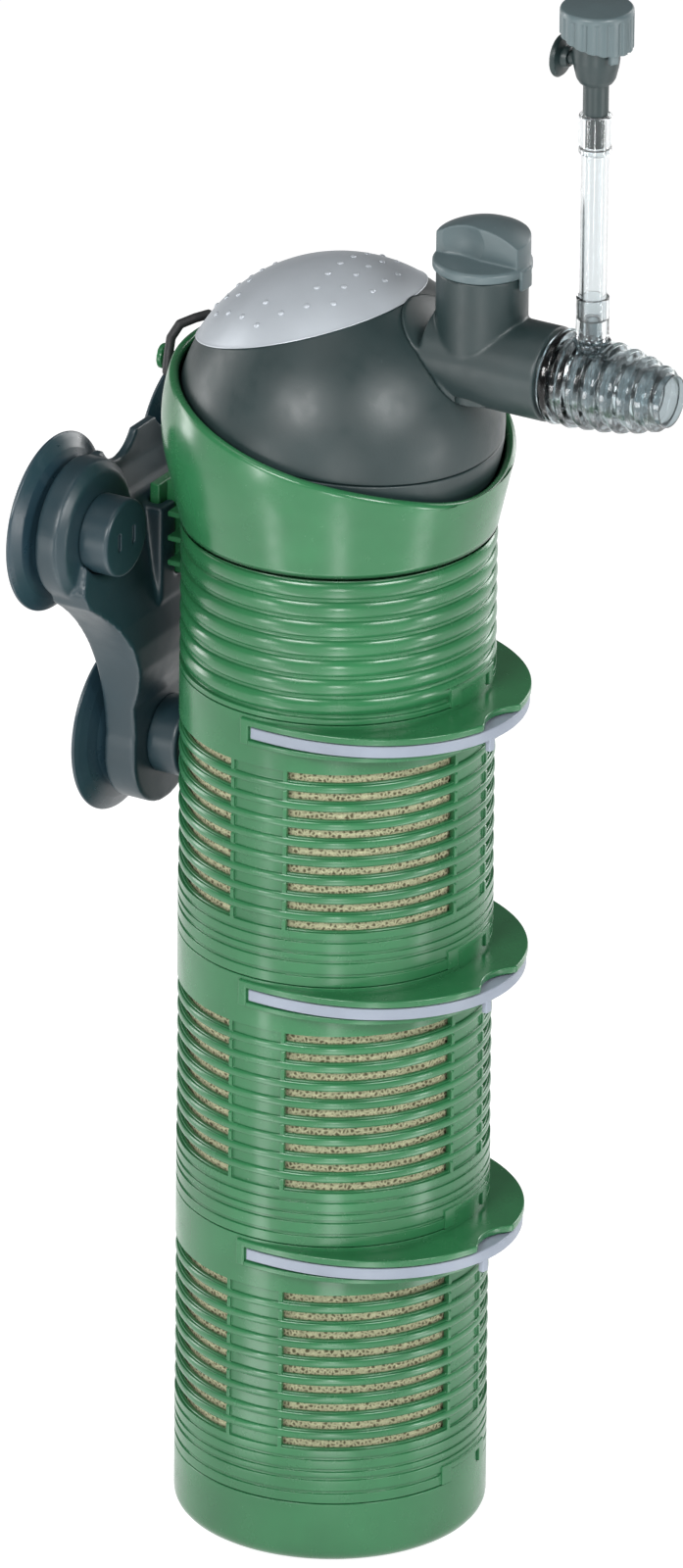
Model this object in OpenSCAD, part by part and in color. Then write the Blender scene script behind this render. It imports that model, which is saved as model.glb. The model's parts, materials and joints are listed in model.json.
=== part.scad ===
// Stackable aquarium filter: three slotted sponge chambers on a base cap, a bowl that carries a
// spherical pump, a bracket with three suction cups, and an outlet nozzle with an air tube.
// The origin is the centre of the base's underside. +Z is up, +X is the way the outlet points,
// and the suction cups face -X.

/* [Stack] */
// Outside diameter of the chambers
can_d = 84; // [83:0.5:86]
// Height of the base cap up to its seam
base_h = 17.7; // [16:0.1:24]
// Height of one sponge chamber, seam to seam
chamber_h = 75.9; // [74:0.1:80]
// Straight ribbed height of the pump holder
holder_h = 48.9; // [47:0.1:54]

/* [Chamber slots] */
// Rows of slots on each chamber
slot_rows = 9; // [7:1:9]
// Height of one slot
slot_h = 2.4; // [1.8:0.1:2.6]
// Distance between slot rows
slot_pitch = 5.34; // [5:0.01:5.4]
// Angle of the solid strip between two groups of slots
strip_a = 23.5; // [16:0.5:30]

/* [Locking flange] */
// How far the flange reaches past the wall at its front
flange_reach = 11.4; // [8:0.1:13]
// Direction of the middle of the flange, from +X
flange_az = -5.5; // [-8:0.5:8]

/* [Pump ball] */
// Diameter of the pump ball
ball_d = 87.2; // [86:0.2:88]
// Tilt of the top cover towards the back
cover_tilt = 17; // [12:0.5:20]

/* [Outlet] */
// Height of the outlet's axis over the ball's centre
outlet_h = 26.8; // [26:0.1:28]
// Distance of the valve's axis from the ball's axis
valve_x = 42.5; // [42:0.1:43]
// Outside diameter of the outlet pipe
pipe_d = 25.6; // [24.8:0.1:26]
// End of the outlet pipe, where the nozzle starts
pipe_end = 65; // [64:0.5:66]
// Axis of the air tube
air_x = 75.7; // [75:0.1:76.5]

/* [Bracket] */
// Diameter of a suction cup
cup_d = 49; // [44:0.5:50]
// Sideways place of the two upper cups
cup_y = 34; // [32:0.5:36]
// Height of the upper cups
cup_z = 283.5; // [283:0.5:287]
// Drop from the upper cups to the lower cup
cup_drop = 70.5; // [69:0.5:72]

/* [Hidden] */
$fn = 96;

// Colours
green = [0.16, 0.44, 0.24];
ball_grey = [0.22, 0.28, 0.29];
cover_grey = [0.68, 0.7, 0.72];
knob_grey = [0.42, 0.47, 0.48];
bracket_blue = [0.14, 0.24, 0.28];
slider_grey = [0.6, 0.63, 0.68];
sponge_beige = [0.67, 0.65, 0.52];
clear_plastic = [0.85, 0.9, 0.92, 0.5];
copper = [0.7, 0.4, 0.2];
steel = [0.6, 0.6, 0.62];
black_rubber = [0.08, 0.08, 0.08];

// Stack: radii of the walls, and heights of the seams
can_r = can_d / 2;
wall_in_r = can_r - 3;
skirt_in_r = can_r - 2.8;
spigot_r = can_r - 3.4;
spigot_in_r = can_r - 5.4;
spigot_rise = 6.3;
seam_gap = 0.3;
edge = 0.4;
base_seam = base_h;
lower_seam = base_seam + chamber_h;
middle_seam = lower_seam + chamber_h;
upper_seam = middle_seam + chamber_h;
slot_depth = 0.8;

// Key tooth on each seam, and the frame round the notch that takes it
tooth_a = 18.7;
tooth_rise = 3.8;
tooth_in_r = spigot_r + 0.7;
notch_play_a = 0.5;
notch_play = 0.35;
frame_a = 5.2;
frame_rise = 1.9;
frame_proud = 0.6;

// Flange, slider slot and ledge, as depths below the seam above
flange_top = 1;
flange_bottom = 3;
slider_top = 3.35;
slider_bottom = 6.65;
ledge_top = 7;
ledge_bottom = 8.5;
band_proud = 0.8;
flange_half_a = 91.5;
slider_half_a = 87.3;
post_a = 3.6;
slider_play = 0.35;
slider_inset = 0.4;
ledge_inset = 2.8;
finger_notch_r = 11;
finger_notch_x = can_r + 19.2;

// Slots: the lowest row's height over the chamber's lower seam
first_slot = chamber_h - 15.7 - (slot_rows - 1) * slot_pitch;
recess_h = slot_h + 0.7;

// Inside a chamber
room_r = can_r - 1.9;
lip_r = wall_in_r - 1.6;
lip_z = 7;
grate_z = 8.4;
grate_t = 2;
grate_r = room_r - 0.2;
sponge_r = room_r - 0.3;
sponge_bore_r = 9;
ring_z = chamber_h - 10.9;

// Pump holder and ball
ball_r = ball_d / 2;
ball_z = upper_seam + holder_h + 21.5;
bowl_in_r = ball_r + 0.8;
bowl_r = ball_r + 3.6;
rib_pitch = 5.55;
first_groove = 2.3;
groove_count = 8;
seat_r = 1.5;
seat_a = 40;
intake_r = 11;
pipe_in_r = 7.5;
shell_t = 2.4;
shell_in_r = ball_r - shell_t;
seam_tilt = 6.84;
seam_h = 2.08;
cover_h = ball_r * 0.702;
cover_proud = 0.4;

// T-shaped rail on the holder's back, and the bracket's channel for it
rail_z0 = 262;
rail_z1 = 288;
rail_web = 4;
rail_head = 8;
rail_x = -50.5;
rail_back = -53.5;
channel_play = 0.35;

// Hook and cord gland on the back of the bowl, over the ball's centre
hook_z = 7.5;
gland_r = 1.3;
gland_path = [
    [-41.2, 1.2, 20], [-43.6, -1.6, 19.4], [-46.6, -4.4, 18], [-48, -6.6, 14.6],
    [-47.6, -8.6, 10.4], [-47.1, -10.1, 6.4]
];

// Bracket, measured along X from the back
cup_rim_x = -68.2;
lobe_back = -62;
lobe_front = -53.6;
low_lobe_front = -52.4;
web_front = -59.3;
web_top = 301;
dip_y = 13.5;
dip_r = 9.7;
lobe_r = 19.3;
low_lobe_r = 16.8;
low_drop = 2.5;
waist_r = 61;
waist_y = low_lobe_r + waist_r - 0.5;
low_cup_z = cup_z - cup_drop;
cap_r = 10.65;
cap_front = -44.9;
cap_play = 0.4;
cup_hole_r = 4.2;
arm_top = 282;

// Tee, valve and nozzle
pipe_r = pipe_d / 2;
valve_r = 12.2;
tee_top = 52.2;
tee_bore_r = 9.5;
fit_play = 0.08;
foot_a = 39.8;
foot_r = 12.5;
foot_half = 4.2;
foot_proud = 1;
knob_r = 13.2;
nozzle_bore_r = 6.7;
nozzle_pitch = 4.8;
nozzle_steps = [12.9, 12.9, 12.5, 12.1, 11.4, 10.4, 9];
nozzle_tip = pipe_end + 1.2 + len(nozzle_steps) * nozzle_pitch;

// Air line: heights over the outlet's axis
coupler_r = 4.4;
tube_r = 3.6;
tube_bore_r = 2.55;
nipple_r = 2.5;
coupler_z0 = 12.6;
tube_z0 = 18.4;
coupler_z1 = 24.7;
tube_z1 = 66.6;
top_coupler_z0 = 65.2;
top_coupler_z1 = 76;
valve_body_z = 86.4;
valve_body_top = 98.4;
cap_z0 = 94.4;
cap_top = 106.4;
air_cap_r = 9.75;
body_r = 6.25;
pad_x = air_x - 10.2;
pad_z = 90.2;

// ---------- Helpers ----------

// Points of an arc round c, from angle a0 to a1
function arc(c, r, a0, a1, n = 6) = [
    for (i = [0:n]) c + r * [cos(a0 + (a1 - a0) * i / n), sin(a0 + (a1 - a0) * i / n)]
];

// A groove with a ceiling on top and a slope at the bottom, in a wall of radius r
function rib_groove(r, z, depth) = [
    [r, z - 1.3], [r - depth * 0.3, z - 1.15], [r - depth, z - 0.35], [r - depth, z + 0.85],
    [r - depth * 0.3, z + 1.05], [r, z + 1.25]
];

// A fine V line round a wall of radius r
function fine_groove(r, z) = [[r, z - 0.55], [r - 0.5, z - 0.1], [r - 0.5, z + 0.25], [r, z + 0.45]];

module sector(a0, a1, r0, r1, z0, z1) {
    rotate([0, 0, a0])
        rotate_extrude(angle = a1 - a0)
            translate([r0, z0])
                square([r1 - r0, z1 - z0]);
}

module ring(r0, r1, z0, z1) {
    rotate_extrude()
        translate([r0, z0])
            square([r1 - r0, z1 - z0]);
}

// Round rod between two points
module rod(a, b, r) {
    d = b - a;
    translate(a)
        rotate([0, acos(d[2] / norm(d)), atan2(d[1], d[0])])
            cylinder(r = r, h = norm(d), $fn = 32);
}

module at_ball() {
    translate([0, 0, ball_z])
        children();
}

// Turns children so that their +Z points along +X
module along_x(x, y, z) {
    translate([x, y, z])
        rotate([0, 90, 0])
            children();
}

// ---------- Seam parts shared by the base and the chambers ----------

module key_tooth(z) {
    sector(-tooth_a / 2, tooth_a / 2, tooth_in_r, can_r - 0.03, z - 1.5, z + tooth_rise);
}

module notch_frame(z) {
    half = tooth_a / 2 + notch_play_a;
    sector(-half - frame_a, half + frame_a, can_r - 1, can_r + frame_proud,
        z + seam_gap, z + tooth_rise + frame_rise);
}

module key_notch(z) {
    half = tooth_a / 2 + notch_play_a;
    sector(-half, half, skirt_in_r - 1, can_r + 2, z - 1, z + tooth_rise + notch_play);
}

// ---------- Base ----------

module base_cap() {
    color(green) {
        rotate_extrude()
            polygon(concat(
                [[0, 0]],
                arc([can_r - 4, 4], 4, -90, 0),
                [[can_r, base_h - edge], [can_r - edge, base_h], [spigot_r, base_h]],
                [[spigot_r, base_h + spigot_rise - 1], [spigot_r - 0.8, base_h + spigot_rise]],
                [[spigot_in_r, base_h + spigot_rise], [spigot_in_r, base_h - 3]],
                [[wall_in_r, base_h - 6], [wall_in_r, 6], [wall_in_r - 3, 3], [0, 3]]
            ));
        key_tooth(base_seam);
    }
}

// ---------- Sponge chambers ----------

function flange_r(t, inset, reach) = can_r + band_proud - inset + reach * pow(max(cos(t), 0), 2);

// Crescent of the flange, between angles -half and half from its middle
module crescent(half, inset, reach) {
    steps = 48;
    polygon([for (i = [0:steps]) let (t = -half + 2 * half * i / steps)
        flange_r(t, inset, reach) * [cos(t), sin(t)]]);
}

// Full ring of a chamber's wall, from its skirt to its spigot, with a recess for each row of slots
module chamber_wall() {
    h = chamber_h;
    r = can_r - slot_depth;
    rotate_extrude()
        polygon(concat(
            [[skirt_in_r, seam_gap], [can_r - edge, seam_gap], [can_r, seam_gap + edge]],
            fine_groove(can_r, 3.5),
            fine_groove(can_r, 7.5),
            fine_groove(can_r, 10),
            fine_groove(can_r, 13.4),
            [for (i = [0:slot_rows - 1])
                each let (z = first_slot + i * slot_pitch)
                [[can_r, z - recess_h / 2 - 0.4], [r, z - recess_h / 2],
                [r, z + recess_h / 2], [can_r, z + recess_h / 2 + 0.4]]],
            [[can_r, h - edge], [can_r - edge, h], [spigot_r, h], [spigot_r, h + spigot_rise - 1]],
            [[spigot_r - 0.8, h + spigot_rise], [spigot_in_r, h + spigot_rise]],
            [[spigot_in_r, ring_z + 2.8], [room_r, ring_z], [room_r, grate_z]],
            [[lip_r, grate_z], [lip_r, lip_z], [skirt_in_r, lip_z]]
        ));
}

// Flange over the slider's slot and ledge under it; the slot is cut afterwards
module flange_and_ledge() {
    middle = (ledge_top + flange_bottom) / 2;
    for (plate = [[middle, flange_top, 0], [ledge_bottom, middle - 0.2, ledge_inset]])
        translate([0, 0, chamber_h - plate[0]])
            linear_extrude(plate[0] - plate[1])
                difference() {
                    crescent(flange_half_a, 0, flange_reach - plate[2]);
                    circle(can_r - 2.5);
                }
}

module chamber_shell(seam) {
    slot_a = 90 - strip_a;
    color(green)
        translate([0, 0, seam])
            difference() {
                union() {
                    chamber_wall();
                    notch_frame(0);
                    key_tooth(chamber_h);
                    rotate([0, 0, flange_az])
                        flange_and_ledge();
                }
                key_notch(0);
                rotate([0, 0, flange_az]) {
                    sector(post_a - flange_half_a, flange_half_a - post_a, spigot_r,
                        can_r + 2 * flange_reach, chamber_h - ledge_top, chamber_h - flange_bottom);
                    translate([finger_notch_x, 0, chamber_h - ledge_top + 1])
                        cylinder(r = finger_notch_r, h = ledge_top);
                }
                for (a = [45:90:315])
                    for (i = [0:slot_rows - 1])
                        sector(a - slot_a / 2, a + slot_a / 2, room_r - 1, can_r + 1,
                            first_slot + i * slot_pitch - slot_h / 2,
                            first_slot + i * slot_pitch + slot_h / 2);
            }
}

module lower_shell() { chamber_shell(base_seam); }
module middle_shell() { chamber_shell(lower_seam); }
module upper_shell() { chamber_shell(middle_seam); }

// Grid that carries the sponge
module grate(seam) {
    color(green)
        translate([0, 0, seam + grate_z])
            difference() {
                cylinder(r = grate_r, h = grate_t);
                translate([0, 0, -1])
                    cylinder(r = sponge_bore_r - 2, h = grate_t + 2);
                for (a = [0:45:315])
                    for (r = [13, 22, 31])
                        sector(a, a + 33, r, r + 5, -1, grate_t + 1);
            }
}

module lower_grate() { grate(base_seam); }
module middle_grate() { grate(lower_seam); }
module upper_grate() { grate(middle_seam); }

module sponge(seam) {
    color(sponge_beige)
        translate([0, 0, seam])
            ring(sponge_bore_r, sponge_r, grate_z + grate_t, ring_z - 0.2);
}

module lower_sponge() { sponge(base_seam); }
module middle_sponge() { sponge(lower_seam); }
module upper_sponge() { sponge(middle_seam); }

// U-shaped lock that slides out to the front, with a finger tab under it
module slider(seam) {
    tab_x = flange_r(0, slider_inset, flange_reach) - 2;
    color(slider_grey)
        translate([0, 0, seam])
            rotate([0, 0, flange_az]) {
                translate([0, 0, -slider_bottom])
                    linear_extrude(slider_bottom - slider_top)
                        difference() {
                            crescent(slider_half_a, slider_inset, flange_reach);
                            circle(spigot_r + slider_play);
                        }
                translate([tab_x, -5.5, -slider_bottom - 3.3])
                    cube([1.6, 2.4, 4]);
            }
}

module lower_slider() { slider(lower_seam); }
module middle_slider() { slider(middle_seam); }
module upper_slider() { slider(upper_seam); }

// ---------- Pump holder ----------

// Height of the bowl's rim over the ball's centre: it falls towards the front
function rim_z(x) = 4.9 - 0.25 * x - 5.5 * pow(max(0, x) / 45, 6);

module over_rim() {
    steps = 40;
    far = bowl_r + 4;
    translate([0, far, ball_z])
        rotate([90, 0, 0])
            linear_extrude(2 * far)
                polygon(concat(
                    [for (i = [0:steps]) let (x = -far + 2 * far * i / steps) [x, rim_z(x)]],
                    [[far, far], [-far, far]]
                ));
}

module pump_holder() {
    z0 = upper_seam;
    join_z = ball_z - sqrt(pow(bowl_r, 2) - pow(can_r, 2));
    color(green)
        difference() {
            union() {
                difference() {
                    rotate_extrude()
                        polygon(concat(
                            [[skirt_in_r, z0 + seam_gap], [can_r - edge, z0 + seam_gap]],
                            [[can_r, z0 + seam_gap + edge]],
                            [for (i = [0:groove_count - 1])
                                each rib_groove(can_r, z0 + first_groove + i * rib_pitch, 1)],
                            [[can_r, join_z + 0.3], [wall_in_r, join_z + 0.3]],
                            [[wall_in_r, z0 + spigot_rise + 1.4], [skirt_in_r, z0 + spigot_rise + 1]]
                        ));
                    at_ball()
                        sphere(r = bowl_in_r);
                }
                difference() {
                    at_ball()
                        sphere(r = bowl_r);
                    at_ball()
                        sphere(r = bowl_in_r);
                    over_rim();
                    translate([0, 0, z0])
                        cylinder(r = intake_r, h = holder_h);
                }
                notch_frame(z0);
                translate([rail_x, -rail_web, rail_z0])
                    cube([-rail_x - can_r + 1.5, 2 * rail_web, rail_z1 - rail_z0]);
                translate([rail_back, -rail_head, rail_z0])
                    cube([rail_x - rail_back, 2 * rail_head, rail_z1 - rail_z0]);
                for (z = [rail_z0 + 5, rail_z0 + 12, rail_z0 + 19])
                    translate([-can_r - 4.2, -11, z])
                        cube([6, 22, 1.6]);
            }
            key_notch(z0);
            at_ball()
                rotate_extrude()
                    translate([(bowl_in_r + 0.8) * sin(seat_a), -(bowl_in_r + 0.8) * cos(seat_a)])
                        circle(seat_r, $fn = 32);
        }
}

// Soft ring in the bowl that the ball turns on
module ball_seat() {
    color(black_rubber)
        at_ball()
            rotate_extrude()
                translate([(bowl_in_r + 0.8) * sin(seat_a), -(bowl_in_r + 0.8) * cos(seat_a)])
                    circle(seat_r, $fn = 32);
}

// Pipe that brings the water up to the pump
module suction_pipe() {
    color(ball_grey) {
        floor_z = ball_z - sqrt(pow(bowl_r, 2) - pow(intake_r, 2));
        ring(pipe_in_r, intake_r, upper_seam + 10, floor_z + 1.9);
        ring(intake_r, intake_r + 4, floor_z - 1.8, floor_z - 0.05);
    }
}

// Peg on the back of the rim that the cord is led round
module cord_hook() {
    color(green)
        at_ball()
            rotate([0, 0, 4])
                translate([0, 0, hook_z]) {
                    difference() {
                        along_x(-52.6, 0, 0)
                            cylinder(r = 1.8, h = 8, $fn = 32);
                        translate([0, 0, -hook_z])
                            sphere(r = bowl_r);
                    }
                    along_x(-52.8, 0, 0)
                        cylinder(r = 3.4, h = 1.5, $fn = 32);
                }
}

// Short rubber gland that the cord comes out of: it leads over the rim and down beside the hook
module cord_gland() {
    color(black_rubber)
        at_ball()
            for (i = [0:len(gland_path) - 1]) {
                translate(gland_path[i])
                    sphere(r = gland_r, $fn = 32);
                if (i > 0)
                    rod(gland_path[i - 1], gland_path[i], gland_r);
            }
}

// ---------- Bracket ----------

module bracket_outline() {
    difference() {
        polygon([
            [-cup_y, web_top], [cup_y, web_top], [cup_y + 12, cup_z - 14],
            [low_lobe_r + 0.4, low_cup_z], [-low_lobe_r - 0.4, low_cup_z], [-cup_y - 12, cup_z - 14]
        ]);
        for (side = [-1, 1])
            translate([side * dip_y, web_top - 5.2 + dip_r])
                circle(dip_r, $fn = 64);
        for (side = [-1, 1])
            translate([side * waist_y, low_cup_z + 1])
                circle(waist_r, $fn = 128);
    }
    for (drop = [0, low_drop])
        translate([0, low_cup_z - drop])
            circle(low_lobe_r);
}

// Side view of the arm: thin at the top, deep in the middle
module arm_side() {
    top = cup_z + lobe_r + 1;
    polygon([
        [lobe_back, low_cup_z - 20], [low_lobe_front, low_cup_z - 20],
        [low_lobe_front, low_cup_z + 13], [-50, low_cup_z + 19], [-48, low_cup_z + 26],
        [-47.2, low_cup_z + 34], [-47.8, low_cup_z + 42],
        [-50.2, low_cup_z + 52], [-51.6, low_cup_z + 62], [-52.4, arm_top],
        [-56.6, arm_top + 5.5], [web_front, arm_top + 11], [web_front, top], [lobe_back, top]
    ]);
}

module bracket_plate() {
    half = rail_head + channel_play;
    color(bracket_blue)
        difference() {
            union() {
                intersection() {
                    translate([lobe_back - 1, 0, 0])
                        rotate([90, 0, 90])
                            linear_extrude(20)
                                bracket_outline();
                    translate([0, 60, 0])
                        rotate([90, 0, 0])
                            linear_extrude(120)
                                arm_side();
                }
                for (side = [-1, 1])
                    along_x(lobe_back, side * cup_y, cup_z)
                        rotate_extrude()
                            polygon([[0, 0], [lobe_r, 0], [lobe_r, lobe_front - lobe_back - 2.2],
                                [lobe_r - 2.6, lobe_front - lobe_back], [0, lobe_front - lobe_back]]);
                translate([web_front - 1, -half - 3.6, rail_z0 - 6])
                    cube([-47.4 - web_front + 1, 2 * half + 7.2, arm_top + 1 - rail_z0 + 6]);
            }
            translate([rail_back - channel_play, -half, rail_z0 - channel_play])
                cube([rail_x - rail_back + 2 * channel_play, 2 * half, 60]);
            translate([rail_x - 1, -rail_web - channel_play, rail_z0 - channel_play])
                cube([10, 2 * (rail_web + channel_play), 60]);
            for (p = [[-cup_y, cup_z], [cup_y, cup_z], [0, low_cup_z]])
                along_x(lobe_back - 1, p[0], p[1])
                    cylinder(r = cup_hole_r, h = 20);
            for (side = [-1, 1])
                along_x(lobe_front, side * cup_y, cup_z)
                    cylinder(r = cap_r + cap_play, h = 20);
        }
}

// Suction cup with its stem, turned about the X axis; front is the face its cap sits on
module cup(y, z, front) {
    rim = lobe_back - cup_rim_x;
    r = cup_d / 2;
    color(bracket_blue)
        along_x(cup_rim_x, y, z)
            rotate_extrude()
                polygon(concat(
                    [[0, rim - 1.8], [10, rim - 2.4], [r - 5, 1.2], [r - 1.8, 0]],
                    arc([r - 0.9, 0.9], 0.9, -90, 60, 5),
                    [[r - 3, 3.6], [r - 8, rim], [cup_hole_r, rim]],
                    [[cup_hole_r, front - cup_rim_x], [cup_hole_r - 1, front - cup_rim_x + 4]],
                    [[0, front - cup_rim_x + 4]]
                ));
}

module left_cup() { cup(-cup_y, cup_z, lobe_front); }
module right_cup() { cup(cup_y, cup_z, lobe_front); }
module bottom_cup() { cup(0, low_cup_z, low_lobe_front); }

// Round cap that holds a cup's stem, with two short slots in its face
module cup_cap(y, z, front) {
    h = cap_front - lobe_front;
    color(bracket_blue)
        difference() {
            along_x(front, y, z)
                rotate_extrude()
                    polygon(concat(
                        [[0, 0], [cap_r, 0]],
                        arc([cap_r - 1, h - 1], 1, 0, 90, 4),
                        [[0, h]]
                    ));
            along_x(front - 0.1, y, z)
                cylinder(r = cup_hole_r + 0.05, h = 4.3);
            for (side = [-1, 1])
                translate([front + h - 1.2, y + side * 3.6 - 0.7, z - 2.6])
                    cube([2, 1.4, 5.2]);
        }
}

module left_cup_cap() { cup_cap(-cup_y, cup_z, lobe_front); }
module right_cup_cap() { cup_cap(cup_y, cup_z, lobe_front); }
module bottom_cup_cap() { cup_cap(0, low_cup_z, low_lobe_front); }

// ---------- Pump ball ----------

// Half space over a plane at height h, whose normal is tilted by a about Y
module over_plane(a, h) {
    rotate([0, a, 0])
        translate([-60, -60, h])
            cube(120);
}

module lower_housing() {
    color(ball_grey)
        at_ball()
            difference() {
                sphere(r = ball_r);
                sphere(r = shell_in_r);
                over_plane(seam_tilt, seam_h - 0.15);
                translate([0, 0, -ball_r - 1])
                    cylinder(r = 8.1, h = 10);
            }
}

module upper_housing() {
    color(ball_grey)
        at_ball()
            difference() {
                intersection() {
                    sphere(r = ball_r);
                    over_plane(seam_tilt, seam_h + 0.15);
                }
                sphere(r = shell_in_r);
                over_plane(-cover_tilt, cover_h - 0.1);
                rotate([0, 90 - foot_a, 0])
                    cylinder(r = 7, h = 60);
                valve_room();
            }
}

module housing_seal() {
    color(black_rubber)
        at_ball()
            rotate([0, seam_tilt, 0])
                rotate_extrude()
                    translate([shell_in_r - 1.12, seam_h])
                        circle(1, $fn = 32);
}

module top_cover() {
    cover_r = ball_r + cover_proud;
    color(cover_grey)
        at_ball()
            difference() {
                intersection() {
                    sphere(r = cover_r);
                    over_plane(-cover_tilt, cover_h);
                }
                sphere(r = cover_r - 2.6);
                rotate([0, 90 - foot_a, 0])
                    foot_prism(0.2);
            }
}

// Room in the ball for the lower end of the valve, as it turns
module valve_room() {
    translate([valve_x, 0, outlet_h - 10.7])
        cylinder(r = tee_bore_r + 0.3, h = 60);
}

module foot_prism(play) {
    linear_extrude(60)
        hull_outline(foot_r + play, foot_half);
}

module hull_outline(r, half) {
    for (side = [-1, 1])
        translate([side * half, 0])
            circle(r);
    translate([-half, -r])
        square([2 * half, 2 * r]);
}

module outlet_tee() {
    color(ball_grey)
        at_ball()
            difference() {
                union() {
                    translate([valve_x, 0, outlet_h])
                        cylinder(r = valve_r, h = tee_top - outlet_h);
                    along_x(valve_x - 12, 0, outlet_h)
                        cylinder(r = pipe_r, h = pipe_end - valve_x + 12);
                    intersection() {
                        rotate([0, 90 - foot_a, 0])
                            foot_prism(0);
                        sphere(r = ball_r + foot_proud);
                    }
                }
                sphere(r = ball_r + 0.02);
                translate([valve_x, 0, outlet_h - 10.5])
                    cylinder(r = tee_bore_r, h = 60);
                along_x(valve_x, 0, outlet_h)
                    cylinder(r = tee_bore_r, h = 60);
                rotate([0, 90 - foot_a, 0])
                    cylinder(r = 6.9, h = 52);
            }
}

module pump_chamber() {
    color(knob_grey)
        at_ball()
            difference() {
                rotate_extrude()
                    polygon([
                        [7, -42.6], [8, -42.6], [8, -26], [17, -26], [17, -10], [15.4, -10],
                        [15.4, -24.4], [7.5, -24.4], [7.5, -26.4], [7, -26.4]
                    ]);
                translate([17, 0, -17])
                    rotate([0, 18.6, 0])
                        cylinder(r = 5, h = 20, center = true);
            }
}

module delivery_duct() {
    color(knob_grey)
        at_ball()
            difference() {
                intersection() {
                    translate([17, 0, -17])
                        rotate([0, 18.6, 0])
                            cylinder(r = 6, h = 60);
                    sphere(r = shell_in_r - 0.1);
                }
                translate([17, 0, -18])
                    rotate([0, 18.6, 0])
                        cylinder(r = 5, h = 60);
                translate([0, 0, -30])
                    cylinder(r = 17.05, h = 22);
                valve_room();
            }
}

module rotor_well() {
    color(knob_grey)
        at_ball()
            rotate_extrude()
                polygon([
                    [8.4, -10], [17, -10], [17, -8.4], [9.2, -8.4], [9.2, 19.8], [0, 19.8],
                    [0, 18.6], [8.4, 18.6]
                ]);
}

module stator_core() {
    color(steel)
        at_ball()
            difference() {
                translate([-30, -15, 0])
                    cube([42, 30, 14]);
                translate([-26, -9, -1])
                    cube([13.5, 18, 16]);
                translate([0, 0, -1])
                    cylinder(r = 9.25, h = 16);
            }
}

module coil() {
    color(copper)
        at_ball()
            difference() {
                translate([-33.4, -8.6, -7])
                    cube([19.4, 17.2, 27]);
                translate([-30, -9, 0])
                    cube([4, 18, 14]);
                translate([-20.4, -9, 0])
                    cube([9, 18, 14]);
            }
}

module rotor_shaft() {
    color(cover_grey)
        at_ball()
            translate([0, 0, -26])
                cylinder(r = 1.5, h = 43);
}

module upper_bush() {
    color(black_rubber)
        at_ball()
            difference() {
                translate([0, 0, 15.2])
                    cylinder(r = 8.4, h = 3.4);
                translate([0, 0, 15])
                    cylinder(r = 1.5, h = 2);
            }
}

module shaft_support() {
    color(knob_grey)
        at_ball()
            difference() {
                translate([0, 0, -26.2])
                    cylinder(r = 7.5, h = 1.8);
                translate([0, 0, -27])
                    cylinder(r = 1.5, h = 4);
                for (a = [0:120:240])
                    sector(a, a + 90, 3, 6.3, -27, -24);
            }
}

module rotor_magnet() {
    color(black_rubber)
        at_ball()
            difference() {
                translate([0, 0, -6])
                    cylinder(r = 7.4, h = 20);
                translate([0, 0, -7])
                    cylinder(r = 1.56, h = 22);
            }
}

module impeller() {
    color(cover_grey)
        at_ball()
            difference() {
                union() {
                    translate([0, 0, -22])
                        cylinder(r = 3.4, h = 16);
                    translate([0, 0, -13])
                        cylinder(r = 13, h = 1.2);
                    for (a = [0:60:300])
                        rotate([0, 0, a])
                            translate([2.4, -0.6, -22])
                                cube([10.4, 1.2, 9.4]);
                }
                translate([0, 0, -23])
                    cylinder(r = 1.56, h = 20);
            }
}

// ---------- Valve ----------

// Round base with a half-round grip, and a pointer on the outlet side
module flow_knob() {
    z0 = tee_top + 0.3;
    color(knob_grey)
        at_ball()
            translate([valve_x, 0, z0]) {
                rotate_extrude()
                    polygon([[0, 0], [knob_r - 0.4, 0], [knob_r, 0.4], [knob_r, 2.2],
                        [knob_r - 0.7, 2.9], [0, 2.9]]);
                difference() {
                    intersection() {
                        cylinder(r = knob_r - 0.5, h = 13);
                        translate([0, 1.5, -11])
                            sphere(r = 23.5);
                        translate([-20, -3.4, 0])
                            cube([40, 40, 20]);
                    }
                    translate([-4, -18.1, 7.2])
                        sphere(r = 16);
                }
                sector(-11, 11, valve_r + 0.35, knob_r + 0.5, -3.4, 2.2);
            }
}

module flow_valve() {
    r = tee_bore_r - fit_play;
    color(ball_grey)
        at_ball()
            difference() {
                translate([valve_x, 0, outlet_h - 10.3])
                    cylinder(r = r, h = tee_top - outlet_h + 10.6);
                along_x(valve_x - 20, 0, outlet_h)
                    cylinder(r = 7, h = 40);
                translate([valve_x, 0, tee_top - 6])
                    ring(r - 1.1, r + 1, -1, 1);
                rotate([0, 90 - foot_a, 0])
                    cylinder(r = 6.6, h = 51);
            }
}

module valve_seal() {
    color(black_rubber)
        at_ball()
            translate([valve_x, 0, tee_top - 6])
                rotate_extrude()
                    translate([tee_bore_r - fit_play - 0.55, 0])
                        circle(0.55, $fn = 24);
}

// ---------- Nozzle and air line ----------

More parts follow.
